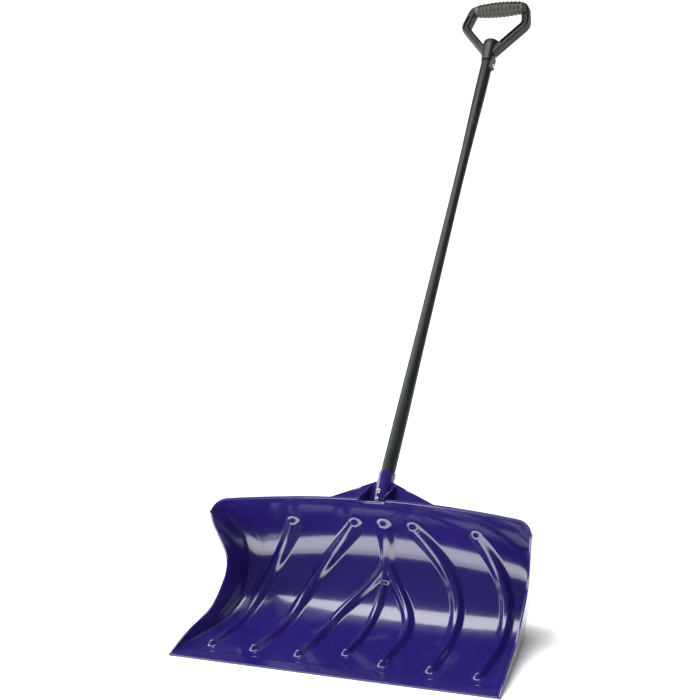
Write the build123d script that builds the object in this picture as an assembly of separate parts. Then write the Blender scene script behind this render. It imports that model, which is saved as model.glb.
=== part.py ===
"""Snow shovel: a moulded pusher scoop, a sleeved and tapered shaft, and a D-grip.

Millimetres, +Z up, standing on the scoop's flat lip.  The origin is on the ground, in the middle of
the cutting edge.  +X is the shovel's own lateral axis and the scoop opens towards -Y.

Every piece is drawn in the handle's frame (x lateral, y back from the cutting edge, z along the
handle) and then leaned back by HANDLE_LEAN, so that the lip lies flat on the ground.
"""
from build123d import *
import os
from math import cos, radians, sin, sqrt

os.makedirs("parts", exist_ok=True)

# ---- scoop, mm and degrees
BLADE_WIDTH = 610.0
HANDLE_LEAN = 44.0                      # handle axis from the vertical
LIP_ANGLE = 90.0 - HANDLE_LEAN          # lip from the handle axis: it lies flat on the ground
LIP_RUN = 110.0                         # flat part of the scoop's floor
BELLY_RADIUS = 160.0
SCOOP_HEIGHT = 305.0                    # cutting edge to top edge, along the handle
TOP_EDGE_BACK = 13.0                    # top edge behind the cutting edge, in the middle
CROWN_DROP = 24.0                       # the top edge is lower at its corners by this
CROWN_FORWARD = 14.0                    # and further forward by this
CROWN_HALF_WIDTH = 286.0
SKIN = 4.0                              # floor of the scoop, at the lip
SHELL = 4.3                             # curved back of the scoop; the lip is planed flat to SKIN
LIP_BAND = 25.0                         # thicker wear band along the cutting edge
LIP_BAND_STEP = 1.0

# ---- side walls: flat, and flared by WALL_FLARE sideways for each mm forward
WALL_FLARE = 0.27
WALL_EDGE = ((0, 0), (25, 50), (53, 93), (70, 155), (56, 207), (12, 243), (-4, 262))   # (back, z)
TOP_CORNER_RADIUS = 32.0
TOP_CORNER_START = 275.0                # the top edge rounds down from here
TOP_CORNER_SHARE = 0.96                 # share of the corner's quarter circle that is used

# ---- ribs: moulded corrugations, hollow from behind
RIB_HEIGHT = 7.0
RIB_TOP_WIDTH = 25.0
RIB_FOOT_WIDTH = 16.0
RIB_WALL = 3.5
RIB_HEAD_ROUND = 0.8                    # a rib's upper end, as a share of a half circle
RIB_ROOT = 1.0                          # a rib is sunk into the shell by this
OUTER_RIB = ((247, 36), (239, 140), (172, 276))        # centre line: foot, middle, top (x, z)
INNER_RIB = ((164, 37), (149, 146), (55, 280))
SPLIT_RIB = ((78, 37), (64, 135), (14, 212))
CENTRE_RIB_FOOT = 58.0
TRUNK_FOOT = 190.0
TRUNK_TOP = 282.0
TRUNK_WIDTH = 30.0

# ---- yoke and socket, moulded with the scoop
AXIS_BACK = 46.0                        # handle axis behind the cutting edge
SOCKET_FOOT = 299.0
SOCKET_MOUTH = 369.0
SOCKET_RADIUS = 15.0
SOCKET_TOP_RADIUS = 14.4
COLLAR_RADIUS = 14.9
COLLAR_HEIGHT = 9.0
WING_SPAN = 128.0
WING_FOOT = 306.0
WING_TOP = 352.0
WING_SKIN = 4.0
WING_HEM = (4.0, 14.0)                  # the wings go down into the scoop: in at the side, and by this
GUSSET_X = 23.0
GUSSET_SKIN = 3.5
GUSSET_TOE = (8.0, 308.0)               # front end of a gusset's sloping edge (back, height)
GUSSET_HEAD = (44.0, 348.0)             # and its upper end, just under the wing's top
GUSSET_FOOT = 297.0
NOTCH_WIDTH = 52.0                      # recess in the top edge, in front of the socket
NOTCH_BACK = 24.0
NOTCH_CORNER = 13.0
NOTCH_HEIGHT = 24.0
SCREW_FLAT_MARGIN = 1.0                 # flat seat round a screw's head

# ---- shaft
SEAT_RADIUS = 12.5                      # parallel lower end, in the socket
SHAFT_FOOT = 307.0
SHAFT_TAPER_START = 400.0
SHAFT_TAPER = ((10.7, 600), (9.3, 820), (8.9, 1010))   # sleeve radius at each height
NECK_RADIUS = 11.3
NECK_START = 1195.0
SHOULDER = 1226.0
SPIGOT_RADIUS = 8.2
SPIGOT_TOP = 1262.0
CORE_RADIUS = 6.5
CORE_WALL = 1.2
CORE_FOOT = 309.5
CORE_TOP = 1258.0
PLUG_LENGTH = 22.0

# ---- D-grip
GRIP_RIM = 1229.0
RIM_RADIUS = 12.6
DOME_RADIUS = 16.2
DOME_SHOULDER = 1263.0
DOME_TOP = 1275.0
DOME_EDGE = 6.0                         # rounding of the dome's top edge
BAR_HEIGHT = 1352.0
BAR_CORE_RADIUS = 9.0
ARM_WIDTH = 15.0
ARM_DEPTH = 20.0
ARM_CORNER = (64.0, 1310.0)             # middle of the arm where it turns up to the bar
ARM_HEAD = (54.0, 36.0)                 # where the arm meets the bar's line, and its end on that line
ARM_ROOT = (7.0, 1247.0)
CORNER_RADIUS = 17.0
HEAD_BEND_RADIUS = 10.0
ARM_FILLET = 4.0
ARM_POCKET_WIDTH = 7.0
ARM_POCKET_DEPTH = 3.0
ARM_POCKET_FOOT = (25.5, 1267.5)        # ends of the pocket, on the arm's middle line
ARM_POCKET_HEAD = (59.0, 1331.0)
COVER_LENGTH = 98.0
COVER_END_RADIUS = 11.0
COVER_ROOM = (40.0, 34.0)               # the arms are cut away round the bar by this
COVER_BELLY_RADIUS = 14.2
COVER_RINGS = 11
RING_RADIUS = 1.6
RING_SINK = 0.4                         # a ring's middle lies under the cover's surface by this

# ---- screws
BLADE_SCREW_HEIGHTS = {"upper_blade_screw": 330.0, "lower_blade_screw": 315.0}
BLADE_SCREW_LENGTH = 24.0
GRIP_SCREW_HEIGHT = 1218.0
GRIP_SCREW_LENGTH = 15.0
SCREW_RADIUS = 2.1
HEAD_RADIUS = 3.9
HEAD_HEIGHT = 2.6
HEAD_ROUND = 0.6                        # rounded share of a head's height
RECESS = (4.4, 1.0, 1.2)                # cross recess: length, width, depth
BOSS_REACH = 14.2                       # outer face of the side boss from the handle axis
BOSS_BOTTOM = 1210.0
BOSS_WIDTH = 13.0
BOSS_TOP = 1237.0
BOSS_ROUND = 4.0

ON_FLOOR = (Align.CENTER, Align.CENTER, Align.MIN)      # a shape that starts at its own z = 0

lip_run_end = (LIP_RUN * sin(radians(LIP_ANGLE)), LIP_RUN * cos(radians(LIP_ANGLE)))
belly_centre = (
    lip_run_end[0] - BELLY_RADIUS * cos(radians(LIP_ANGLE)),
    lip_run_end[1] + BELLY_RADIUS * sin(radians(LIP_ANGLE)),
)
belly_back = belly_centre[0] + BELLY_RADIUS


def crown(x):
    """Share of the crown's drop at a lateral place: 0 in the middle, 1 at the top corners."""
    return (x / CROWN_HALF_WIDTH) ** 2


def top_edge(x):
    """The top edge's (back, height) at a lateral place: crowned, with rounded corners."""
    past = min(max(abs(x) - TOP_CORNER_START, 0) / TOP_CORNER_RADIUS, TOP_CORNER_SHARE)
    corner = TOP_CORNER_RADIUS * (1 - sqrt(1 - past**2))
    return TOP_EDGE_BACK - CROWN_FORWARD * crown(x), SCOOP_HEIGHT - CROWN_DROP * crown(x) - corner


def face_curve(x, offset):
    """Scoop profile at a lateral place, at an offset from the front face (back is +)."""
    edge_back, edge_height = top_edge(x)
    out = Vector(cos(radians(LIP_ANGLE)), -sin(radians(LIP_ANGLE)))
    lip = Line(out * offset, Vector(*lip_run_end) + out * offset)
    belly = CenterArc(belly_centre, BELLY_RADIUS + offset, -LIP_ANGLE, LIP_ANGLE)
    curl = EllipticalCenterArc(
        (edge_back, belly_centre[1]),
        belly_back - edge_back + offset,
        edge_height - belly_centre[1] + offset,
        start_angle=0,
        arc_size=90,
    )
    return [lip, belly, curl]


def scoop_places():
    """Lateral places of the scoop's sections, closer together at the rounded corners."""
    half = [0, 100, 190, 250, 275, 287, 296, 302, BLADE_WIDTH / 2 + 1]
    return [-x for x in reversed(half[1:])] + half


def scoop_layer(front, back):
    """Solid between two offsets from the scoop's front face."""
    sections = []
    for x in scoop_places():
        inner, outer = face_curve(x, front), face_curve(x, back)
        ends = [Line(inner[0] @ 0, outer[0] @ 0), Line(inner[-1] @ 1, outer[-1] @ 1)]
        sections.append(Plane.YZ.offset(x) * make_face([*inner, *outer, *ends]))
    return loft(sections)


def scoop_fill(offset, reach):
    """Solid from an offset of the scoop's front face to a plane a long way in front."""
    sections = []
    for x in scoop_places():
        curve = face_curve(x, offset)
        foot, top = curve[0] @ 0, curve[-1] @ 1
        front = Polyline(foot, (-reach, foot.Y), (-reach, top.Y), top)
        sections.append(Plane.YZ.offset(x) * make_face([*curve, *front.edges()]))
    return loft(sections)


def between_walls(inset):
    """The space between the side walls' outer faces, or inside them by an inset."""
    front, back = -90.0, 160.0
    half = BLADE_WIDTH / 2 - inset
    outline = Polyline(
        (WALL_FLARE * front - half, front),
        (half - WALL_FLARE * front, front),
        (half - WALL_FLARE * back, back),
        (WALL_FLARE * back - half, back),
        close=True,
    )
    return extrude(Plane.XY.offset(-30) * make_face(outline), 380)


def ahead_of_walls():
    """Everything in front of the side walls' free edges."""
    top = Vector(*WALL_EDGE[-1])
    outline = Curve() + [
        Spline(*WALL_EDGE),
        Polyline(top, (top.X, 360), (-200, 360), (-200, -20), (0, -20), WALL_EDGE[0]),
    ]
    return extrude(Plane.YZ * make_face(outline.edges()), 400, both=True)


def rib_prism(centre_line, side, inset=0.0):
    """A rib's outline from the front, rounded at both ends, as a prism through the scoop."""
    (foot, middle, top) = [Vector(side * x, z) for x, z in centre_line]
    foot_half = RIB_FOOT_WIDTH / 2 - inset
    top_half = RIB_TOP_WIDTH / 2 - inset
    foot_across = (middle - foot).normalized().rotate(Axis.Z, 90)
    top_across = (top - middle).normalized().rotate(Axis.Z, 90)
    middle_across = (top - foot).normalized().rotate(Axis.Z, 90)
    middle_half = (foot_half + top_half) / 2
    outline = Curve() + [
        ThreePointArc(
            foot + foot_across * foot_half,
            middle + middle_across * middle_half,
            top + top_across * top_half,
        ),
        ThreePointArc(
            top + top_across * top_half,
            top + (top - middle).normalized() * top_half * RIB_HEAD_ROUND,
            top - top_across * top_half,
        ),
        ThreePointArc(
            top - top_across * top_half,
            middle - middle_across * middle_half,
            foot - foot_across * foot_half,
        ),
        ThreePointArc(
            foot - foot_across * foot_half,
            foot - (middle - foot).normalized() * foot_half,
            foot + foot_across * foot_half,
        ),
    ]
    return extrude(Plane.XZ.offset(60) * make_face(outline.edges()), -300)


def trunk_prism(inset=0.0):
    """The wide middle rib above the split and the narrow one below it."""
    trunk = Pos(0, (TRUNK_FOOT + TRUNK_TOP) / 2) * SlotOverall(
        TRUNK_TOP - TRUNK_FOOT + TRUNK_WIDTH - 2 * inset, TRUNK_WIDTH - 2 * inset, 90
    )
    stem = Pos(0, (CENTRE_RIB_FOOT + TRUNK_FOOT) / 2) * SlotOverall(
        TRUNK_FOOT - CENTRE_RIB_FOOT + RIB_FOOT_WIDTH - 2 * inset, RIB_FOOT_WIDTH - 2 * inset, 90
    )
    return extrude(Plane.XZ.offset(60) * (trunk + stem).face(), -300)


def rib_prisms(inset=0.0):
    """All the ribs' prisms: two pairs, the split pair and the trunk."""
    pairs = [
        rib_prism(line, side, inset)
        for line in (OUTER_RIB, INNER_RIB, SPLIT_RIB)
        for side in (-1, 1)
    ]
    return pairs + [trunk_prism(inset)]


def upright_plate(points, thickness, x):
    """A plate across the handle frame's x, from a (back, height) outline."""
    return extrude(Plane.YZ.offset(x - thickness / 2) * make_face(Polyline(*points, close=True)), thickness)


def yoke():
    """Wings, gussets and socket that join the scoop to the shaft."""
    wing_outline = Polyline(
        (-WING_SPAN, WING_FOOT),
        (-SOCKET_RADIUS, WING_TOP),
        (SOCKET_RADIUS, WING_TOP),
        (WING_SPAN, WING_FOOT),
        (WING_SPAN - WING_HEM[0], WING_FOOT - WING_HEM[1]),
        (WING_HEM[0] - WING_SPAN, WING_FOOT - WING_HEM[1]),
        close=True,
    )
    wings = extrude(Plane.XZ.offset(-AXIS_BACK) * make_face(wing_outline), WING_SKIN)
    gusset_outline = (
        GUSSET_TOE,
        GUSSET_HEAD,
        (GUSSET_HEAD[0], GUSSET_FOOT),
        (GUSSET_TOE[0], GUSSET_FOOT),
    )
    gussets = [upright_plate(gusset_outline, GUSSET_SKIN, side * GUSSET_X) for side in (-1, 1)]
    socket = Pos(0, AXIS_BACK, SOCKET_FOOT) * Cylinder(
        SOCKET_RADIUS, WING_TOP - SOCKET_FOOT, align=ON_FLOOR
    )
    neck = Pos(0, AXIS_BACK, WING_TOP) * Cone(
        SOCKET_RADIUS, SOCKET_TOP_RADIUS, SOCKET_MOUTH - WING_TOP, align=ON_FLOOR
    )
    collar = Pos(0, AXIS_BACK, SOCKET_MOUTH - COLLAR_HEIGHT) * Cylinder(
        COLLAR_RADIUS, COLLAR_HEIGHT, align=ON_FLOOR
    )
    return wings + gussets + socket + neck + collar


def blade_screw_shank(height):
    """A blade screw's shank, from the socket's front face into the shaft."""
    return (
        Pos(0, AXIS_BACK - SOCKET_RADIUS, height)
        * Rot(-90, 0, 0)
        * Cylinder(SCREW_RADIUS, BLADE_SCREW_LENGTH, align=ON_FLOOR)
    )


def pan_head():
    """A screw's round head on the plane z = 0, with a cross recess in its top."""
    head = Cylinder(HEAD_RADIUS, HEAD_HEIGHT, align=ON_FLOOR)
    head = fillet(head.edges().sort_by(Axis.Z)[-1], HEAD_HEIGHT * HEAD_ROUND)
    length, width, depth = RECESS
    recess = Box(length, width, 2 * depth) + Box(width, length, 2 * depth)
    return head - Pos(0, 0, HEAD_HEIGHT) * recess


def blade_screw(height):
    """Pan-head screw through the front of the socket."""
    head = Pos(0, AXIS_BACK - SOCKET_RADIUS, height) * Rot(90, 0, 0) * pan_head()
    return head + blade_screw_shank(height)


def socket_screw_flats():
    """Flat seats for the screw heads on the round socket."""
    return [
        Pos(0, AXIS_BACK - SOCKET_RADIUS, height)
        * Rot(90, 0, 0)
        * Cylinder(HEAD_RADIUS + SCREW_FLAT_MARGIN, SOCKET_RADIUS, align=ON_FLOOR)
        for height in BLADE_SCREW_HEIGHTS.values()
    ]


def shaft_bore():
    """The socket's bore for the shaft's parallel end."""
    return Pos(0, AXIS_BACK, SHAFT_FOOT) * Cylinder(
        SEAT_RADIUS, SHAFT_TAPER_START - SHAFT_FOOT, align=ON_FLOOR
    )


def top_notch():
    """Round-cornered recess that is cut out of the middle of the top edge."""
    block = Box(NOTCH_WIDTH, 2 * NOTCH_BACK, NOTCH_HEIGHT)
    return Pos(0, 0, SCOOP_HEIGHT) * fillet(block.edges().filter_by(Axis.Z), NOTCH_CORNER)


def lip_band():
    """The band along the cutting edge that stands a little proud of the floor."""
    along = Vector(sin(radians(LIP_ANGLE)), cos(radians(LIP_ANGLE)))
    up = Vector(-cos(radians(LIP_ANGLE)), sin(radians(LIP_ANGLE)))
    outline = (
        up * LIP_BAND_STEP,
        up * LIP_BAND_STEP + along * LIP_BAND,
        along * (LIP_BAND + 2) - up,
        up * -1,
    )
    points = [(point.X, point.Y) for point in outline]
    return upright_plate(points, BLADE_WIDTH - 2 * SKIN, 0) & between_walls(SKIN / 2)


def below_ground():
    """What lies under the ground that the lip rests on."""
    slab = Box(2 * BLADE_WIDTH, 2 * BLADE_WIDTH, 20, align=(Align.CENTER, Align.CENTER, Align.MAX))
    return Rot(HANDLE_LEAN, 0, 0) * Pos(0, 0, -SKIN) * slab


def blade():
    """The scoop in one moulding: floor, walls, lip, ribs, yoke and socket."""
    body = scoop_fill(SHELL, 80) & between_walls(0)
    body = body - (scoop_fill(0, 90) & between_walls(SKIN)) - ahead_of_walls()
    body = body - below_ground() - top_notch()
    rib_shell = scoop_layer(-RIB_HEIGHT, RIB_ROOT)
    for prism in rib_prisms():
        body = body + (prism & rib_shell)
    groove_shell = scoop_layer(RIB_WALL - RIB_HEIGHT, SHELL + 3)
    for prism in rib_prisms(RIB_WALL):
        body = body - (prism & groove_shell)
    body = body + lip_band()
    body = body + (yoke() - scoop_fill(RIB_ROOT, 90))
    body = body - shaft_bore() - socket_screw_flats()
    for height in BLADE_SCREW_HEIGHTS.values():
        body = body - blade_screw_shank(height)
    return body


def shaft_sleeve():
    """Tapered resin sleeve over the steel core, with a parallel seat and a grip spigot."""
    taper = Spline(
        (SEAT_RADIUS, SHAFT_TAPER_START),
        *SHAFT_TAPER,
        (NECK_RADIUS, NECK_START),
        tangents=[(0, 1), (0, 1)],
    )
    outline = Curve() + [
        Polyline((0, SHAFT_FOOT), (SEAT_RADIUS, SHAFT_FOOT), (SEAT_RADIUS, SHAFT_TAPER_START)),
        taper,
        Polyline(
            (NECK_RADIUS, NECK_START),
            (NECK_RADIUS, SHOULDER),
            (SPIGOT_RADIUS, SHOULDER),
            (SPIGOT_RADIUS, SPIGOT_TOP),
            (0, SPIGOT_TOP),
            (0, SHAFT_FOOT),
        ),
    ]
    body = Pos(0, AXIS_BACK, 0) * revolve(Plane.XZ * make_face(outline.edges()), Axis.Z)
    bore = Pos(0, AXIS_BACK, CORE_FOOT) * Cylinder(CORE_RADIUS, CORE_TOP - CORE_FOOT, align=ON_FLOOR)
    body = body - bore - grip_screw_shank()
    for height in BLADE_SCREW_HEIGHTS.values():
        body = body - blade_screw_shank(height)
    return body


def shaft_core_tube():
    """Steel tube inside the sleeve."""
    length = CORE_TOP - CORE_FOOT
    tube = Cylinder(CORE_RADIUS, length, align=ON_FLOOR)
    tube = tube - Cylinder(CORE_RADIUS - CORE_WALL, length, align=ON_FLOOR)
    body = Pos(0, AXIS_BACK, CORE_FOOT) * tube - grip_screw_shank()
    for height in BLADE_SCREW_HEIGHTS.values():
        body = body - blade_screw_shank(height)
    return body


def core_plug(foot):
    """Plug that closes an end of the core tube."""
    body = Pos(0, AXIS_BACK, foot) * Cylinder(CORE_RADIUS - CORE_WALL, PLUG_LENGTH, align=ON_FLOOR)
    for height in BLADE_SCREW_HEIGHTS.values():
        body = body - blade_screw_shank(height)
    return body


def grip_screw_shank():
    """The grip screw's shank, from the side boss into the shaft."""
    return (
        Pos(BOSS_REACH, AXIS_BACK, GRIP_SCREW_HEIGHT)
        * Rot(0, -90, 0)
        * Cylinder(SCREW_RADIUS, GRIP_SCREW_LENGTH, align=ON_FLOOR)
    )


def grip_screw():
    """Pan-head screw in the D-grip's side boss."""
    head = Pos(BOSS_REACH, AXIS_BACK, GRIP_SCREW_HEIGHT) * Rot(0, 90, 0) * pan_head()
    return head + grip_screw_shank()


def arm_path(side):
    """Middle line of one arm of the D, from the socket to the bar's end."""
    return Plane.XZ.offset(-AXIS_BACK) * FilletPolyline(
        (side * ARM_ROOT[0], ARM_ROOT[1]),
        (side * ARM_CORNER[0], ARM_CORNER[1]),
        (side * ARM_HEAD[0], BAR_HEIGHT),
        (side * ARM_HEAD[1], BAR_HEIGHT),
        radius=[CORNER_RADIUS, HEAD_BEND_RADIUS],
    )


def grip_arm(side):
    """One arm of the D: a rounded rectangle swept along the arm's middle line."""
    path = arm_path(side)
    start = Plane(path @ 0, x_dir=(0, 1, 0), z_dir=path % 0)
    section = start * RectangleRounded(ARM_DEPTH, ARM_WIDTH, ARM_FILLET)
    return sweep(section, path)


def arm_pocket(side):
    """Shallow pocket along the front face of an arm, with round ends."""
    path = Plane.XZ.offset(-AXIS_BACK) * FilletPolyline(
        (side * ARM_POCKET_FOOT[0], ARM_POCKET_FOOT[1]),
        (side * ARM_CORNER[0], ARM_CORNER[1]),
        (side * ARM_POCKET_HEAD[0], ARM_POCKET_HEAD[1]),
        radius=CORNER_RADIUS,
    )
    start = Plane(path @ 0, x_dir=(0, 1, 0), z_dir=path % 0)
    section = start * Pos(-ARM_DEPTH / 2, 0) * Rectangle(2 * ARM_POCKET_DEPTH, ARM_POCKET_WIDTH)
    pocket = sweep(section, path)
    for end in (path @ 0, path @ 1):
        round_end = Rot(90, 0, 0) * Cylinder(ARM_POCKET_WIDTH / 2, 2 * ARM_POCKET_DEPTH)
        pocket = pocket + Pos(end.X, AXIS_BACK - ARM_DEPTH / 2, end.Z) * round_end
    return pocket


def grip_frame():
    """D-grip moulding: domed socket, side boss, two arms and the bar's core."""
    dome_outline = Curve() + [
        Polyline(
            (0, GRIP_RIM),
            (RIM_RADIUS, GRIP_RIM),
            (DOME_RADIUS, DOME_SHOULDER),
            (DOME_RADIUS, DOME_TOP - DOME_EDGE),
        ),
        CenterArc((DOME_RADIUS - DOME_EDGE, DOME_TOP - DOME_EDGE), DOME_EDGE, 0, 90),
        Polyline((DOME_RADIUS - DOME_EDGE, DOME_TOP), (0, DOME_TOP), (0, GRIP_RIM)),
    ]
    dome = Pos(0, AXIS_BACK, 0) * revolve(Plane.XZ * make_face(dome_outline.edges()), Axis.Z)
    boss = Pos(0, AXIS_BACK, BOSS_BOTTOM) * Box(
        BOSS_REACH, BOSS_WIDTH, BOSS_TOP - BOSS_BOTTOM, align=(Align.MIN, Align.CENTER, Align.MIN)
    )
    boss = fillet(boss.edges().filter_by(Axis.Y).group_by(Axis.X)[-1], BOSS_ROUND)
    bar = Pos(0, AXIS_BACK, BAR_HEIGHT) * Rot(0, 90, 0) * Cylinder(BAR_CORE_RADIUS, COVER_LENGTH + 6)
    cover_room = Pos(0, AXIS_BACK, BAR_HEIGHT) * Box(COVER_LENGTH, *COVER_ROOM)
    body = dome + boss + bar
    for side in (-1, 1):
        body = body + (grip_arm(side) - cover_room) - arm_pocket(side)
    spigot_bore = Pos(0, AXIS_BACK, SHOULDER) * Cylinder(
        SPIGOT_RADIUS, SPIGOT_TOP - SHOULDER, align=ON_FLOOR
    )
    neck_bore = Pos(0, AXIS_BACK, NECK_START) * Cylinder(
        NECK_RADIUS, GRIP_RIM - NECK_START, align=ON_FLOOR
    )
    return body - spigot_bore - neck_bore - grip_screw_shank()


def grip_cover():
    """Soft ribbed cover moulded over the bar."""
    half = COVER_LENGTH / 2
    outline = Curve() + [
        Line((-half, BAR_CORE_RADIUS), (-half, COVER_END_RADIUS)),
        ThreePointArc((-half, COVER_END_RADIUS), (0, COVER_BELLY_RADIUS), (half, COVER_END_RADIUS)),
        Line((half, COVER_END_RADIUS), (half, BAR_CORE_RADIUS)),
        Line((half, BAR_CORE_RADIUS), (-half, BAR_CORE_RADIUS)),
    ]
    body = revolve(make_face(outline.edges()), Axis.X)
    for number in range(COVER_RINGS):
        x = (number - (COVER_RINGS - 1) / 2) * COVER_LENGTH / (COVER_RINGS + 1)
        sag = (COVER_BELLY_RADIUS - COVER_END_RADIUS) * (x / half) ** 2
        ring = Pos(x, 0, 0) * Rot(0, 90, 0) * Torus(COVER_BELLY_RADIUS - sag - RING_SINK, RING_RADIUS)
        body = body + ring
    return Pos(0, AXIS_BACK, BAR_HEIGHT) * body


def stand(shape):
    """From the handle's frame to the ground: lean back, and put the lip's underside at z = 0."""
    return Pos(0, 0, SKIN) * Rot(-HANDLE_LEAN, 0, 0) * shape


pieces = {
    "blade": blade(),
    "shaft_sleeve": shaft_sleeve(),
    "shaft_core_tube": shaft_core_tube(),
    "core_bottom_plug": core_plug(CORE_FOOT),
    "core_top_plug": core_plug(CORE_TOP - PLUG_LENGTH),
    "grip_frame": grip_frame(),
    "grip_cover": grip_cover(),
    "grip_screw": grip_screw(),
}
for name, height in BLADE_SCREW_HEIGHTS.items():
    pieces[name] = blade_screw(height)

for name, shape in pieces.items():
    export_step(stand(shape), f"parts/{name}.step")
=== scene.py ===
import math

import bmesh
import bpy
import numpy as np
from mathutils import Matrix, Vector


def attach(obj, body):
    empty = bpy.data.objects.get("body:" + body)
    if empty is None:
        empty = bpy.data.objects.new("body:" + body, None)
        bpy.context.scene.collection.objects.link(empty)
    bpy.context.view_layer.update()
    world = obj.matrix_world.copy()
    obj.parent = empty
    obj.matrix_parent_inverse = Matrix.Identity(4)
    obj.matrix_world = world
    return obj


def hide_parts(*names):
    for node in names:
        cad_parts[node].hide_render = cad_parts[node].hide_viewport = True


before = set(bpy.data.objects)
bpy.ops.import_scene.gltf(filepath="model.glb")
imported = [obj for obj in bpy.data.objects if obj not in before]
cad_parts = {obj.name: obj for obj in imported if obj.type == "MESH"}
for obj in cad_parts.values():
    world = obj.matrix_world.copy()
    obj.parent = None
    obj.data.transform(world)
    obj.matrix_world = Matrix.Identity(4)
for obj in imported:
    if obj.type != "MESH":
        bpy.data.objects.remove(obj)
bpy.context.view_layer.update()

# Shapes are worked out in the handle's frame, in millimetres: x across, y back from the cutting edge,
# z along the handle.  stand() leans them back onto the ground and turns them into metres.

# ---- driving sizes of the CAD part
HANDLE_LEAN = math.radians(44)
LIP_ANGLE = math.radians(46)
LIP_RUN = 110.0
BELLY_RADIUS = 160.0
HALF_WIDTH = 305.0
SCOOP_HEIGHT = 305.0
TOP_EDGE_BACK = 13.0
CROWN_DROP = 24.0
CROWN_FORWARD = 14.0
CROWN_HALF_WIDTH = 286.0
CORNER_START = 275.0
CORNER_RADIUS = 32.0
CORNER_SHARE = 0.96
SKIN = 4.0
SHELL = 4.3
LIP_BAND = 25.0
LIP_BAND_STEP = 1.0
WALL_FLARE = 0.27
WALL_EDGE = ((0, 0), (25, 50), (53, 93), (70, 155), (56, 207), (12, 243), (-4, 262))
AXIS_BACK = 46.0
SOCKET_MOUTH = 369.0
NOTCH_HALF = 26.0
NOTCH_BACK = 24.0
NOTCH_CORNER = 13.0
WING_SPAN = 128.0
WING_FOOT = 306.0
WING_TOP = 352.0
WING_SKIN = 4.0
GUSSET_X = 23.0
GUSSET_SKIN = 3.5
GUSSET_TOE = (8.0, 308.0)
GUSSET_HEAD = (44.0, 348.0)
SOCKET_RADIUS = 15.0
SOCKET_TOP_RADIUS = 14.4
COLLAR_RADIUS = 14.9
COLLAR_HEIGHT = 9.0
BORE_RADIUS = 12.5

LIP_END = (LIP_RUN * math.sin(LIP_ANGLE), LIP_RUN * math.cos(LIP_ANGLE))
BELLY_CENTRE = (
    LIP_END[0] - BELLY_RADIUS * math.cos(LIP_ANGLE),
    LIP_END[1] + BELLY_RADIUS * math.sin(LIP_ANGLE),
)
BELLY_BACK = BELLY_CENTRE[0] + BELLY_RADIUS


def stand(points):
    """Handle's frame in millimetres to the row frame in metres."""
    p = np.asarray(points, float)
    c, s = math.cos(HANDLE_LEAN), math.sin(HANDLE_LEAN)
    out = np.empty_like(p)
    out[..., 0] = p[..., 0]
    out[..., 1] = p[..., 2] * s + p[..., 1] * c
    out[..., 2] = p[..., 2] * c - p[..., 1] * s + SKIN
    return out / 1000.0


def smooth(value, low, high):
    """Smooth step from 0 at low to 1 at high."""
    t = np.clip((value - low) / (high - low), 0, 1)
    return t * t * (3 - 2 * t)


# ---- meshes


class Builder:
    """Collects vertices and faces in the handle's frame, and makes one object of them."""

    def __init__(self):
        self.points, self.faces, self.count = [], [], 0

    def add(self, points, faces):
        points = np.asarray(points, float).reshape(-1, 3)
        faces = np.asarray(faces)
        self.points.append(points)
        self.faces.extend((faces + self.count).tolist())
        self.count += len(points)

    def grid(self, points, wrap=False):
        """A grid of points, rows by columns; wrap closes each row."""
        points = np.asarray(points, float)
        rows, cols = points.shape[:2]
        index = np.arange(rows * cols).reshape(rows, cols)
        if wrap:
            index = np.concatenate([index, index[:, :1]], axis=1)
        quads = np.stack(
            [index[:-1, :-1], index[:-1, 1:], index[1:, 1:], index[1:, :-1]], axis=-1
        ).reshape(-1, 4)
        self.add(points, quads)

    def object(self, name, angle=35.0):
        mesh = bpy.data.meshes.new(name)
        mesh.from_pydata(stand(np.concatenate(self.points)).tolist(), [], self.faces)
        mesh.validate()
        bm = bmesh.new()
        bm.from_mesh(mesh)
        bmesh.ops.remove_doubles(bm, verts=bm.verts, dist=1e-6)
        bmesh.ops.recalc_face_normals(bm, faces=bm.faces)
        bm.to_mesh(mesh)
        bm.free()
        mesh.shade_smooth()
        mesh.set_sharp_from_angle(angle=math.radians(angle))
        obj = bpy.data.objects.new(name, mesh)
        bpy.context.scene.collection.objects.link(obj)
        return obj


# ---- the scoop's surface


def top_edge(x):
    """Back and height of the scoop's top edge at a lateral place."""
    crown = (x / CROWN_HALF_WIDTH) ** 2
    past = np.clip((np.abs(x) - CORNER_START) / CORNER_RADIUS, 0, CORNER_SHARE)
    corner = CORNER_RADIUS * (1 - np.sqrt(1 - past**2))
    return TOP_EDGE_BACK - CROWN_FORWARD * crown, SCOOP_HEIGHT - CROWN_DROP * crown - corner


def notch_back(x):
    """How far back the top edge is cut at a lateral place, by the recess before the socket."""
    side = np.clip(np.abs(x) - (NOTCH_HALF - NOTCH_CORNER), 0, NOTCH_CORNER)
    depth = NOTCH_BACK - NOTCH_CORNER + np.sqrt(NOTCH_CORNER**2 - side**2)
    return np.where(np.abs(x) < NOTCH_HALF, depth, -1e3)


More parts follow.
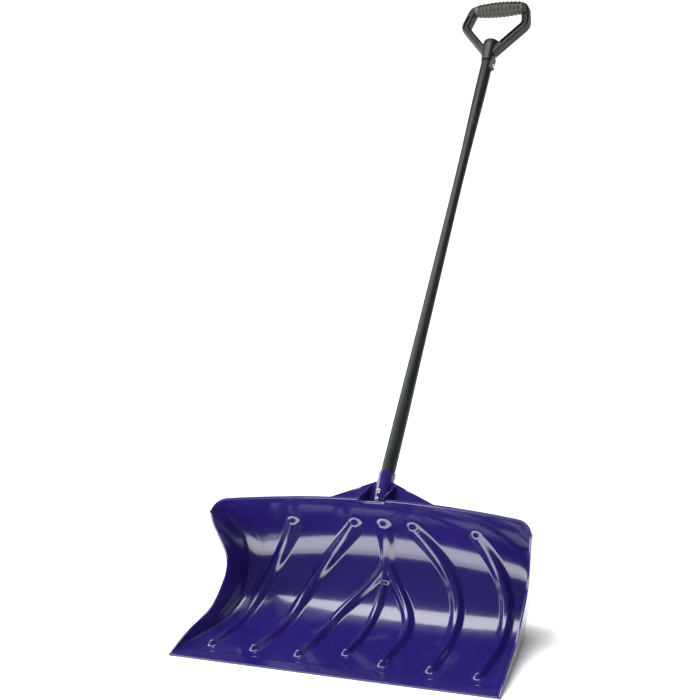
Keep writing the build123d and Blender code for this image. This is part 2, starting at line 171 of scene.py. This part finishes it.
def scoop_face(x, t):
    """Front face at lateral x and profile place t (0-1 lip, 1-2 belly, 2-3 curl): point and back normal."""
    x, t = np.broadcast_arrays(np.asarray(x, float), np.asarray(t, float))
    edge_back, edge_height = top_edge(x)
    a, b = BELLY_BACK - edge_back, edge_height - BELLY_CENTRE[1]
    cut = np.clip((notch_back(x) - edge_back) / a, 0, 1)
    last = np.arccos(cut)
    phi = np.clip(t - 2, 0, 1) * last
    turn = -LIP_ANGLE + LIP_ANGLE * np.clip(t - 1, 0, 1)
    lip = np.clip(t, 0, 1) * LIP_RUN
    on_lip, on_belly = t <= 1, (t > 1) & (t <= 2)
    y = np.where(on_lip, lip * math.sin(LIP_ANGLE), BELLY_CENTRE[0] + BELLY_RADIUS * np.cos(turn))
    z = np.where(on_lip, lip * math.cos(LIP_ANGLE), BELLY_CENTRE[1] + BELLY_RADIUS * np.sin(turn))
    ny = np.where(on_lip, math.cos(LIP_ANGLE), np.cos(turn))
    nz = np.where(on_lip, -math.sin(LIP_ANGLE), np.sin(turn))
    curl = ~(on_lip | on_belly)
    y = np.where(curl, edge_back + a * np.cos(phi), y)
    z = np.where(curl, BELLY_CENTRE[1] + b * np.sin(phi), z)
    length = np.hypot(np.cos(phi) / a, np.sin(phi) / b)
    ny = np.where(curl, np.cos(phi) / a / length, ny)
    nz = np.where(curl, np.sin(phi) / b / length, nz)
    return np.stack([x, y, z], -1), np.stack([np.zeros_like(x), ny, nz], -1)


CURL_RADIUS = 114.3                     # mean of the curl's half axes


def run_of(x, z):
    """Distance along the profile, from the cutting edge, of a height z at lateral x."""
    lip = z / math.cos(LIP_ANGLE)
    turn = np.arcsin(np.clip((z - BELLY_CENTRE[1]) / BELLY_RADIUS, -1, 1)) + LIP_ANGLE
    b = top_edge(x)[1] - BELLY_CENTRE[1]
    phi = np.arcsin(np.clip((z - BELLY_CENTRE[1]) / b, 0, 1))
    belly_run = LIP_RUN + BELLY_RADIUS * turn
    curl_run = LIP_RUN + BELLY_RADIUS * LIP_ANGLE + CURL_RADIUS * phi
    return np.where(z < LIP_END[1], lip, np.where(z < BELLY_CENTRE[1], belly_run, curl_run))


# ---- ribs: (x, z) of the centre line from foot to top, then the half widths at the foot and the top
PAIRED_RIBS = (
    (((247, 36), (240, 124), (218, 216), (176, 277)), 11.5, 16.0),
    (((164, 37), (154, 115), (119, 222), (56, 283)), 11.5, 16.5),
    (((78, 37), (74, 90), (58, 148), (24, 196), (6, 226)), 11.0, 12.5),
)
MIDDLE_RIBS = (
    (((0, 52), (0, 120), (0, 190)), 10.5, 9.5),
    (((0, 205), (0, 240), (0, 284)), 12.5, 19.0),
)
RIB_HEIGHT = 8.5
RIB_HOLLOW = 3.2                        # the wall between a rib's front and its hollow back
RIB_FLANK = (0.12, 1.05)                # a flank's start and end, in half widths from the centre line
RIB_STEPS = 90                          # points along a rib's centre line


def centre_line(points, side):
    """Smooth line through control points, as lateral place and run along the profile."""
    x, z = np.array(points, float).T
    heights = np.linspace(z[0], z[-1], RIB_STEPS)
    line = np.zeros_like(heights)
    for i in range(len(z)):
        others = [j for j in range(len(z)) if j != i]
        line += x[i] * np.prod([(heights - z[j]) / (z[i] - z[j]) for j in others], axis=0)
    return np.stack([side * line, run_of(line, heights)], -1)


def rib_field(x, s, line, foot_half, top_half, inset):
    """Height of one rib with rounded flanks at (x, s), from 0 to 1."""
    half_foot, half_top = foot_half - inset, top_half - inset
    best = np.full(x.shape, 1e9)
    for share, (px, ps) in zip(np.linspace(0, 1, len(line)), line):
        half = half_foot + (half_top - half_foot) * share
        best = np.minimum(best, np.hypot(x - px, s - ps) / half)
    return 1 - smooth(best, *RIB_FLANK)


def ribs(x, s, inset=0.0):
    """Relief of all the ribs together, 0 to 1."""
    total = np.zeros(x.shape)
    sides = [(-1, rib) for rib in PAIRED_RIBS] + [(1, rib) for rib in PAIRED_RIBS + MIDDLE_RIBS]
    for side, (points, foot_half, top_half) in sides:
        line = centre_line(points, side)
        total = np.maximum(total, rib_field(x, s, line, foot_half, top_half, inset))
    return total


def wall_edge_back(z):
    """Back place of the side wall's free edge at a height: a smooth curve through WALL_EDGE."""
    y, h = np.array(WALL_EDGE, float).T
    n = len(h)
    step = np.diff(h)
    matrix, right = np.eye(n), np.zeros(n)
    for i in range(1, n - 1):
        matrix[i, i - 1 : i + 2] = step[i - 1], 2 * (step[i - 1] + step[i]), step[i]
        right[i] = 6 * ((y[i + 1] - y[i]) / step[i] - (y[i] - y[i - 1]) / step[i - 1])
    bend = np.linalg.solve(matrix, right)
    z = np.clip(z, h[0], h[-1])
    k = np.clip(np.searchsorted(h, z) - 1, 0, n - 2)
    left, rest, w = z - h[k], h[k + 1] - z, step[k]
    return (
        bend[k] * rest**3 / (6 * w)
        + bend[k + 1] * left**3 / (6 * w)
        + (y[k] / w - bend[k] * w / 6) * rest
        + (y[k + 1] / w - bend[k + 1] * w / 6) * left
    )


FILLET = 8.0                            # inside corner between the floor and a wall, at the lip
TOP_FILLET = 26.0                       # and where the curl rounds over into the wall
CORNER_TIP = (303.0, -2.0, 256.0)       # where the top edge meets a wall's free edge
CORNER_REACH = 30.0                     # the moulding is blunted within this of the tip
CORNER_PULL = (-2.0, 4.0, -3.0)         # and the tip is drawn in by this
EDGE_ROUND = 1.2                        # moulded edges are rounded by this
FINE_BAND = (22.0, 27.0)                # closer columns at the sides of the top edge's recess
COLUMNS = (18, 14, 205)                 # columns inside, in and outside that band, on each side
ROWS = (56, 74, 112)                    # rows on the lip, the belly and the curl
CURL_RUN = 180.0                        # length of the curl along the profile


def scoop_places():
    """Shares of the half width where the scoop's columns lie."""
    inner = np.linspace(0, FINE_BAND[0], COLUMNS[0])
    rim = np.linspace(*FINE_BAND, COLUMNS[1])[1:]
    outer = np.linspace(FINE_BAND[1], HALF_WIDTH, COLUMNS[2])[1:]
    half = np.concatenate([inner, rim, outer]) / HALF_WIDTH
    return np.concatenate([-half[:0:-1], half])


def scoop_rows():
    """Profile places of the scoop's rows."""
    lip = np.linspace(EDGE_ROUND / LIP_RUN, 1, ROWS[0])
    belly = np.linspace(1, 2, ROWS[1])[1:]
    curl = np.linspace(2, 3 - EDGE_ROUND / CURL_RUN, ROWS[2])[1:]
    return np.concatenate([lip, belly, curl])


def scoop_sheet(back):
    """Grid of the scoop's front face with the walls' inner faces, or of the back with their outer faces."""
    u, t = np.meshgrid(scoop_places(), scoop_rows())
    wall_half = HALF_WIDTH if back else HALF_WIDTH - SKIN
    skin = SKIN + (SHELL - SKIN) * smooth(t, 1.0, 1.3) if back else np.zeros_like(t)

    def surface(x, t, skin):
        point, normal = scoop_face(x, t)
        s = run_of(x, point[..., 2])
        relief = RIB_HEIGHT * ribs(x, s, RIB_HOLLOW if back else 0.0)
        if not back:
            relief = relief + LIP_BAND_STEP * (1 - smooth(s, LIP_BAND - 1.0, LIP_BAND + 1.5))
        return point + normal * (skin - relief)[..., None]

    # where the shell meets the wall in each row, and how wide the wall is there
    row_t, row_skin = t[:, :1], skin[:, :1]
    corner_x = np.full_like(row_t, wall_half)
    for _ in range(4):
        point, normal = scoop_face(corner_x, row_t)
        corner = point + normal * row_skin[..., None]
        corner_x = wall_half - WALL_FLARE * corner[..., 1]
    edge = wall_edge_back(corner[..., 2]) + EDGE_ROUND
    width = np.maximum(corner[..., 1] - edge, 0.3)
    turn_in = FILLET + (TOP_FILLET - FILLET) * smooth(row_t, 1.6, 2.6)
    radius = np.minimum(turn_in, 0.6 * width)
    turn_in = np.minimum(turn_in, 1.5 * radius + 1.0)
    shell = surface(u * (corner_x - turn_in), t, skin)
    sides = []
    for side in (-1, 1):
        start = shell[:, 0] if side < 0 else shell[:, -1]
        knee = corner[:, 0] * (side, 1, 1)
        reach = np.stack([side * WALL_FLARE * np.ones_like(width[:, 0]), -np.ones_like(width[:, 0])], -1)

        def on_wall(distance):
            """Points on the wall at distances in front of the knee, never above the top edge."""
            p = knee.copy()
            p[:, :2] += reach * distance[:, None]
            p[:, 2] = np.minimum(p[:, 2], top_edge(p[:, 0])[1] + row_skin[:, 0])
            return p

        end = on_wall(radius[:, 0])
        columns = []
        for share in np.linspace(0, 1, 9)[1:]:
            columns.append(
                start * (1 - share) ** 2 + knee * (2 * share * (1 - share)) + end * share**2
            )
        for share in np.linspace(0, 1, 24)[1:]:
            columns.append(on_wall(radius[:, 0] + (width - radius)[:, 0] * share))
        sides.append(np.stack(columns, 1))
    sheet = np.concatenate([sides[0][:, ::-1], shell, sides[1]], axis=1)
    for side in (-1, 1):
        distance = np.linalg.norm(sheet - np.array(CORNER_TIP) * (side, 1, 1), axis=-1)
        share = np.clip(1 - distance / CORNER_REACH, 0, 1) ** 2
        sheet = sheet + share[..., None] * np.array(CORNER_PULL) * (side, 1, 1)
    return sheet


def add_scoop(builder):
    """The scoop as one closed shell with rounded rims."""
    front, back = scoop_sheet(False), scoop_sheet(True)
    builder.grid(front)
    builder.grid(back[:, ::-1])

    def rim(inner, outer, away_inner):
        """Adds a rounded strip between the two sheets' edges, and returns its points."""
        middle = (inner + outer) / 2
        away = middle - away_inner
        away /= np.maximum(np.linalg.norm(away, axis=-1, keepdims=True), 1e-6)
        quarter = EDGE_ROUND * math.sin(math.radians(55))
        near, far = (inner * 0.8 + outer * 0.2), (inner * 0.2 + outer * 0.8)
        strip = np.stack(
            [inner, near + away * quarter, middle + away * EDGE_ROUND, far + away * quarter, outer], 1
        )
        builder.grid(strip)
        return strip

    bottom = rim(front[0], back[0], (front[2] + back[2]) / 2)
    top = rim(front[-1], back[-1], (front[-3] + back[-3]) / 2)
    left = rim(front[:, 0], back[:, 0], (front[:, 2] + back[:, 2]) / 2)
    right = rim(front[:, -1], back[:, -1], (front[:, -3] + back[:, -3]) / 2)
    for across, along in (
        (bottom[0], left[0]),
        (bottom[-1], right[0]),
        (top[0], left[-1]),
        (top[-1], right[-1]),
    ):
        builder.grid(np.stack([across, along]))


# ---- yoke and socket


TURN_STEPS = 64
SLAB_EDGE = 0.9                         # rounding of a plate's rim
MOUTH_ROUND = 0.8                       # rounding of the collar's rim


def turned(profile):
    """Rows of rings round the handle's axis from (radius, height) points."""
    angles = np.linspace(0, 2 * math.pi, TURN_STEPS, endpoint=False)
    profile = np.array(profile, float)
    radius, height = profile[:, :1], profile[:, 1:]
    return np.stack(
        [radius * np.cos(angles), AXIS_BACK + radius * np.sin(angles), height + 0 * angles], -1
    )


def slab(builder, front_points, back_points):
    """A closed plate between two equal grids of points, with rounded rims."""
    front, back = np.asarray(front_points, float), np.asarray(back_points, float)

    def loop(grid):
        return np.concatenate([grid[0, :-1], grid[:-1, -1], grid[-1, :0:-1], grid[:0:-1, 0]])

    def inset(grid):
        centre = grid.mean(axis=(0, 1))
        rows = grid.copy()
        border = loop(np.arange(grid.shape[0] * grid.shape[1]).reshape(grid.shape[:2]))
        flat = rows.reshape(-1, 3)
        inward = centre - flat[border]
        inward /= np.maximum(np.linalg.norm(inward, axis=1, keepdims=True), 1e-6)
        flat[border] += inward * SLAB_EDGE
        return rows

    face, other = inset(front), inset(back)
    builder.grid(face)
    builder.grid(other[:, ::-1])
    a, b, c, d = loop(face), loop(front), loop(back), loop(other)
    near, far = b * 0.85 + c * 0.15, b * 0.15 + c * 0.85
    front_chord, back_chord = (a + near) / 2, (d + far) / 2
    front_bulge = front_chord + (b - front_chord) * 0.45
    back_bulge = back_chord + (c - back_chord) * 0.45
    builder.grid(np.stack([a, front_bulge, near, far, back_bulge, d]), wrap=True)


def scoop_height(x, back):
    """Height of the scoop's curled front face at a lateral place and a distance back."""
    edge_back, edge_height = top_edge(np.asarray(x, float))
    a, b = BELLY_BACK - edge_back, edge_height - BELLY_CENTRE[1]
    share = np.clip((back - edge_back) / a, 0, 1)
    return BELLY_CENTRE[1] + b * np.sqrt(1 - share**2)


def add_yoke(builder):
    """Wings, gussets and the socket."""
    rings = turned(
        (
            (BORE_RADIUS, WING_TOP),
            (BORE_RADIUS, SOCKET_MOUTH - MOUTH_ROUND),
            (BORE_RADIUS + 0.6, SOCKET_MOUTH),
            (COLLAR_RADIUS - 0.7, SOCKET_MOUTH),
            (COLLAR_RADIUS, SOCKET_MOUTH - MOUTH_ROUND),
            (COLLAR_RADIUS, SOCKET_MOUTH - COLLAR_HEIGHT),
            (SOCKET_TOP_RADIUS, SOCKET_MOUTH - COLLAR_HEIGHT - 1.0),
            (SOCKET_RADIUS, WING_TOP - 8),
            (SOCKET_RADIUS, SCOOP_HEIGHT),
        )
    )
    rings[-1, :, 2] = scoop_height(0.0, rings[-1, :, 1]) + 1.5
    builder.grid(rings, wrap=True)
    for side in (-1, 1):
        # a wing: from the socket out to its tip, standing on the scoop's back
        out = np.linspace(13.0, WING_SPAN, 26)
        wing_top = np.interp(out, (SOCKET_RADIUS, WING_SPAN), (WING_TOP, WING_FOOT))
        wing_foot = np.minimum(scoop_height(out, AXIS_BACK) + 2.2, wing_top - 1.5)
        rows = np.linspace(0, 1, 8)[:, None]
        heights = wing_foot + (wing_top - wing_foot) * rows
        x = side * out + 0 * rows
        sheets = [np.stack([x, y + 0 * x, heights], -1) for y in (AXIS_BACK - WING_SKIN, AXIS_BACK)]
        slab(builder, *sheets)
        # a gusset: from the wing's top forward and down to the scoop's top edge
        back_places = np.linspace(GUSSET_TOE[0], GUSSET_HEAD[0], 16)
        gusset_top = np.interp(back_places, *np.transpose((GUSSET_TOE, GUSSET_HEAD)))
        gusset_foot = np.minimum(scoop_height(GUSSET_X, back_places) + 1.5, gusset_top - 1.0)
        heights = gusset_foot + (gusset_top - gusset_foot) * rows
        y = back_places + 0 * rows
        sheets = [
            np.stack([side * (GUSSET_X + half) + 0 * y, y, heights], -1)
            for half in (-GUSSET_SKIN / 2, GUSSET_SKIN / 2)
        ]
        slab(builder, *sheets)


# ---- materials


def material(name, colour, roughness, build, metallic=0.0, coat=0.0, coat_roughness=0.1, ior=1.46):
    """A principled material; build(nodes, links, shader) adds its detail."""
    mat = bpy.data.materials.new(name)
    mat.use_nodes = True
    nodes, links = mat.node_tree.nodes, mat.node_tree.links
    shader = nodes["Principled BSDF"]
    shader.inputs["Base Color"].default_value = (*colour, 1)
    shader.inputs["Roughness"].default_value = roughness
    shader.inputs["Metallic"].default_value = metallic
    shader.inputs["IOR"].default_value = ior
    shader.inputs["Coat Weight"].default_value = coat
    shader.inputs["Coat Roughness"].default_value = coat_roughness
    build(nodes, links, shader)
    return mat


def noise(nodes, links, scale, detail, roughness=0.55, stretch=(1, 1, 1)):
    """Object-space noise in metres."""
    place = nodes.new("ShaderNodeTexCoord")
    shape = nodes.new("ShaderNodeMapping")
    shape.inputs["Scale"].default_value = stretch
    texture = nodes.new("ShaderNodeTexNoise")
    texture.inputs["Scale"].default_value = scale
    texture.inputs["Detail"].default_value = detail
    texture.inputs["Roughness"].default_value = roughness
    links.new(place.outputs["Object"], shape.inputs["Vector"])
    links.new(shape.outputs["Vector"], texture.inputs["Vector"])
    return texture.outputs["Fac"]


def ramp(nodes, links, source, stops):
    """Colour ramp over a value."""
    node = nodes.new("ShaderNodeValToRGB")
    while len(node.color_ramp.elements) < len(stops):
        node.color_ramp.elements.new(0.5)
    for element, (place, colour) in zip(node.color_ramp.elements, stops):
        element.position = place
        element.color = (*colour, 1)
    links.new(source, node.inputs["Fac"])
    return node.outputs["Color"]


def span(nodes, links, source, low, high, out_low, out_high):
    """Map a value from one range to another."""
    node = nodes.new("ShaderNodeMapRange")
    for socket, value in zip(("From Min", "From Max", "To Min", "To Max"), (low, high, out_low, out_high)):
        node.inputs[socket].default_value = value
    links.new(source, node.inputs["Value"])
    return node.outputs["Result"]


def mix(nodes, links, factor, first, second):
    """Mix two colours by a factor; each may be a colour or an output."""
    node = nodes.new("ShaderNodeMix")
    node.data_type = "RGBA"
    links.new(factor, node.inputs["Factor"])
    for socket, value in (("A", first), ("B", second)):
        target = [i for i in node.inputs if i.name == socket and i.type == "RGBA"][0]
        if isinstance(value, tuple):
            target.default_value = (*value, 1)
        else:
            links.new(value, target)
    return [o for o in node.outputs if o.type == "RGBA"][0]


def edges(nodes, links, low, high):
    """1 on convex edges and 0 elsewhere."""
    geometry = nodes.new("ShaderNodeNewGeometry")
    return span(nodes, links, geometry.outputs["Pointiness"], low, high, 0, 1)


def bump(nodes, links, shader, source, distance, strength):
    """Bump on the shader, chained after any bump that is there."""
    node = nodes.new("ShaderNodeBump")
    node.inputs["Strength"].default_value = strength
    node.inputs["Distance"].default_value = distance
    links.new(source, node.inputs["Height"])
    before = shader.inputs["Normal"].links
    if before:
        links.new(before[0].from_socket, node.inputs["Normal"])
    links.new(node.outputs["Normal"], shader.inputs["Normal"])


def scoop_detail(nodes, links, shader):
    """Glossy moulded polypropylene: faint clouding, scuffed edges, slight waviness and a fine grain."""
    cloud = noise(nodes, links, 6.0, 3.0)
    tone = ramp(nodes, links, cloud, ((0.3, (0.0085, 0.005, 0.066)), (0.7, (0.012, 0.007, 0.086))))
    scuffs = noise(nodes, links, 90.0, 6.0, 0.7, (1, 0.25, 0.25))
    worn = span(nodes, links, scuffs, 0.45, 0.75, 0.0, 1.0)
    rim = edges(nodes, links, 0.55, 0.68)
    share = nodes.new("ShaderNodeMath")
    share.operation = "MULTIPLY"
    links.new(worn, share.inputs[0])
    links.new(rim, share.inputs[1])
    links.new(mix(nodes, links, share.outputs[0], tone, (0.020, 0.016, 0.11)), shader.inputs["Base Color"])
    links.new(span(nodes, links, scuffs, 0.3, 0.8, 0.13, 0.22), shader.inputs["Roughness"])
    bump(nodes, links, shader, noise(nodes, links, 14.0, 2.0), 0.0012, 0.35)
    bump(nodes, links, shader, noise(nodes, links, 1400.0, 2.0), 0.00002, 0.5)


def sleeve_detail(nodes, links, shader):
    """Satin dark green-black resin with fine lengthwise fibres and rubbed patches."""
    fibre = noise(nodes, links, 420.0, 5.0, 0.6, (1, 0.05, 0.05))
    cloud = noise(nodes, links, 18.0, 4.0)
    base = ramp(nodes, links, cloud, ((0.3, (0.005, 0.007, 0.005)), (0.75, (0.009, 0.012, 0.009))))
    links.new(
        mix(nodes, links, span(nodes, links, fibre, 0.52, 0.72, 0, 0.5), base, (0.018, 0.022, 0.018)),
        shader.inputs["Base Color"],
    )
    links.new(span(nodes, links, cloud, 0.3, 0.7, 0.36, 0.48), shader.inputs["Roughness"])
    bump(nodes, links, shader, fibre, 0.00012, 0.5)


def grip_detail(nodes, links, shader):
    """Satin black moulded plastic with a fine grain and paler rubbed edges."""
    grain = noise(nodes, links, 900.0, 3.0)
    cloud = noise(nodes, links, 40.0, 4.0)
    base = ramp(nodes, links, cloud, ((0.3, (0.005, 0.005, 0.004)), (0.75, (0.009, 0.009, 0.008))))
    rim = edges(nodes, links, 0.55, 0.75)
    links.new(mix(nodes, links, rim, base, (0.03, 0.03, 0.026)), shader.inputs["Base Color"])
    links.new(span(nodes, links, cloud, 0.3, 0.7, 0.30, 0.42), shader.inputs["Roughness"])
    bump(nodes, links, shader, grain, 0.00005, 0.6)


def cover_detail(nodes, links, shader):
    """Matt dark soft plastic, paler on the rings' crests."""
    grain = noise(nodes, links, 1300.0, 3.0)
    cloud = noise(nodes, links, 60.0, 5.0)
    base = ramp(nodes, links, cloud, ((0.3, (0.012, 0.011, 0.009)), (0.75, (0.024, 0.023, 0.019))))
    rim = edges(nodes, links, 0.50, 0.60)
    links.new(mix(nodes, links, rim, base, (0.08, 0.078, 0.066)), shader.inputs["Base Color"])
    links.new(span(nodes, links, grain, 0.3, 0.7, 0.42, 0.6), shader.inputs["Roughness"])
    bump(nodes, links, shader, grain, 0.00008, 0.7)


def zinc_detail(nodes, links, shader):
    """Zinc-plated steel with fine turning marks and a few dull spots."""
    marks = noise(nodes, links, 2500.0, 3.0, 0.6, (1, 1, 0.1))
    spots = noise(nodes, links, 700.0, 4.0)
    links.new(
        ramp(nodes, links, spots, ((0.3, (0.55, 0.55, 0.56)), (0.7, (0.80, 0.80, 0.82)))),
        shader.inputs["Base Color"],
    )
    links.new(span(nodes, links, spots, 0.3, 0.7, 0.36, 0.22), shader.inputs["Roughness"])
    bump(nodes, links, shader, marks, 0.00003, 0.5)


def steel_detail(nodes, links, shader):
    """Plain drawn steel tube with lengthwise draw marks."""
    marks = noise(nodes, links, 1500.0, 4.0, 0.6, (1, 0.03, 0.03))
    links.new(
        ramp(nodes, links, marks, ((0.3, (0.32, 0.32, 0.33)), (0.7, (0.50, 0.50, 0.51)))),
        shader.inputs["Base Color"],
    )
    links.new(span(nodes, links, marks, 0.3, 0.7, 0.45, 0.3), shader.inputs["Roughness"])
    bump(nodes, links, shader, marks, 0.00003, 0.5)


def plug_detail(nodes, links, shader):
    """Matt black plug with a moulding grain."""
    grain = noise(nodes, links, 1100.0, 3.0)
    links.new(
        ramp(nodes, links, grain, ((0.3, (0.012, 0.012, 0.012)), (0.7, (0.03, 0.03, 0.03)))),
        shader.inputs["Base Color"],
    )
    links.new(span(nodes, links, grain, 0.3, 0.7, 0.5, 0.7), shader.inputs["Roughness"])
    bump(nodes, links, shader, grain, 0.00005, 0.6)


def floor_detail(nodes, links, shader):
    """Plain pale floor."""
    cloud = noise(nodes, links, 1.5, 3.0)
    links.new(
        ramp(nodes, links, cloud, ((0.2, (0.86, 0.86, 0.86)), (0.8, (0.90, 0.90, 0.90)))),
        shader.inputs["Base Color"],
    )


blade_plastic = material(
    "blade_plastic", (0.026, 0.017, 0.18), 0.2, scoop_detail, coat=0.6, coat_roughness=0.06
)
sleeve_resin = material("sleeve_resin", (0.012, 0.014, 0.012), 0.42, sleeve_detail, ior=1.36)
grip_plastic = material("grip_plastic", (0.007, 0.007, 0.006), 0.36, grip_detail, ior=1.4)
grip_soft = material("grip_soft", (0.04, 0.038, 0.03), 0.5, cover_detail)
screw_steel = material("screw_steel", (0.7, 0.7, 0.71), 0.3, zinc_detail, metallic=1.0)
core_steel = material("core_steel", (0.42, 0.42, 0.43), 0.4, steel_detail, metallic=1.0)
plug_plastic = material("plug_plastic", (0.02, 0.02, 0.02), 0.6, plug_detail)

# ---- pieces
scoop = Builder()
add_scoop(scoop)
add_yoke(scoop)
blade = scoop.object("scoop_moulding")
blade.data.materials.append(blade_plastic)
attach(blade, "root")
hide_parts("blade")

for node, finish in (
    ("shaft_sleeve", sleeve_resin),
    ("shaft_core_tube", core_steel),
    ("core_bottom_plug", plug_plastic),
    ("core_top_plug", plug_plastic),
    ("upper_blade_screw", screw_steel),
    ("lower_blade_screw", screw_steel),
    ("grip_screw", screw_steel),
    ("grip_frame", grip_plastic),
    ("grip_cover", grip_soft),
):
    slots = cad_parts[node].data.materials
    if slots:
        for i in range(len(slots)):
            slots[i] = finish
    else:
        slots.append(finish)

# ---- floor
FLOOR_HALF = 60.0
floor_mesh = bpy.data.meshes.new("floor")
floor_corners = [(x * FLOOR_HALF, y * FLOOR_HALF, 0) for x, y in ((-1, -1), (1, -1), (1, 1), (-1, 1))]
floor_mesh.from_pydata(floor_corners, [], [(0, 1, 2, 3)])
floor = bpy.data.objects.new("floor", floor_mesh)
bpy.context.scene.collection.objects.link(floor)
floor_mesh.materials.append(material("floor", (0.88, 0.88, 0.88), 0.8, floor_detail))

# ---- camera
CAMERA_PLACE = (1.26165, -1.96913, 1.17053)
CAMERA_RIGHT = (0.87587, 0.46569, -0.12645)
CAMERA_BACK = (0.48224, -0.83540, 0.26373)
CAMERA_SENSOR = 36.0
CAMERA_LENS = 82.285714

camera_data = bpy.data.cameras.new("camera")
camera = bpy.data.objects.new("camera", camera_data)
bpy.context.scene.collection.objects.link(camera)
right = Vector(CAMERA_RIGHT).normalized()
back = Vector(CAMERA_BACK).normalized()
up = back.cross(right).normalized()
right = up.cross(back)
placed = Matrix((right, up, back)).transposed().to_4x4()
placed.translation = Vector(CAMERA_PLACE)
camera.matrix_world = placed
camera_data.sensor_width = CAMERA_SENSOR
camera_data.lens = CAMERA_LENS
camera_data.clip_end = 50.0
bpy.context.scene.camera = camera


# ---- light
def area(name, place, target, size, size_y, radiance):
    """A soft rectangular lamp that looks at a target, of a given radiance."""
    data = bpy.data.lights.new(name, "AREA")
    data.shape = "RECTANGLE"
    data.size, data.size_y = size, size_y
    data.energy = radiance * math.pi * size * size_y
    lamp = bpy.data.objects.new(name, data)
    lamp.location = place
    lamp.rotation_euler = (Vector(target) - Vector(place)).to_track_quat("-Z", "Y").to_euler()
    lamp.visible_camera = False
    bpy.context.scene.collection.objects.link(lamp)


area("front_card", (-0.4, -1.50, 0.25), (-0.4, -1.33, 1.25), 3.4, 3.0, 3.8)
area("top_strip", (-1.40, 0.32, 2.0), (-1.40, 0.32, 0.0), 3.4, 0.62, 8.0)
area("left_panel", (-2.6, 0.2, 1.3), (0.0, 0.5, 0.6), 1.6, 2.0, 3.0)

# the main light falls from above, a little from the left and the front, and leaves no reflection
sun_data = bpy.data.lights.new("overhead", "SUN")
sun_data.energy = 5.0
sun_data.angle = math.radians(90)
sun = bpy.data.objects.new("overhead", sun_data)
sun.rotation_euler = Vector((0.30, 0.18, -0.94)).to_track_quat("-Z", "Y").to_euler()
sun.visible_glossy = False
bpy.context.scene.collection.objects.link(sun)

world = bpy.data.worlds.new("world")
world.use_nodes = True
world.node_tree.nodes["Background"].inputs["Color"].default_value = (1, 1, 1, 1)
world.node_tree.nodes["Background"].inputs["Strength"].default_value = 0.09
bpy.context.scene.world = world
bpy.context.scene.view_settings.view_transform = "Standard"
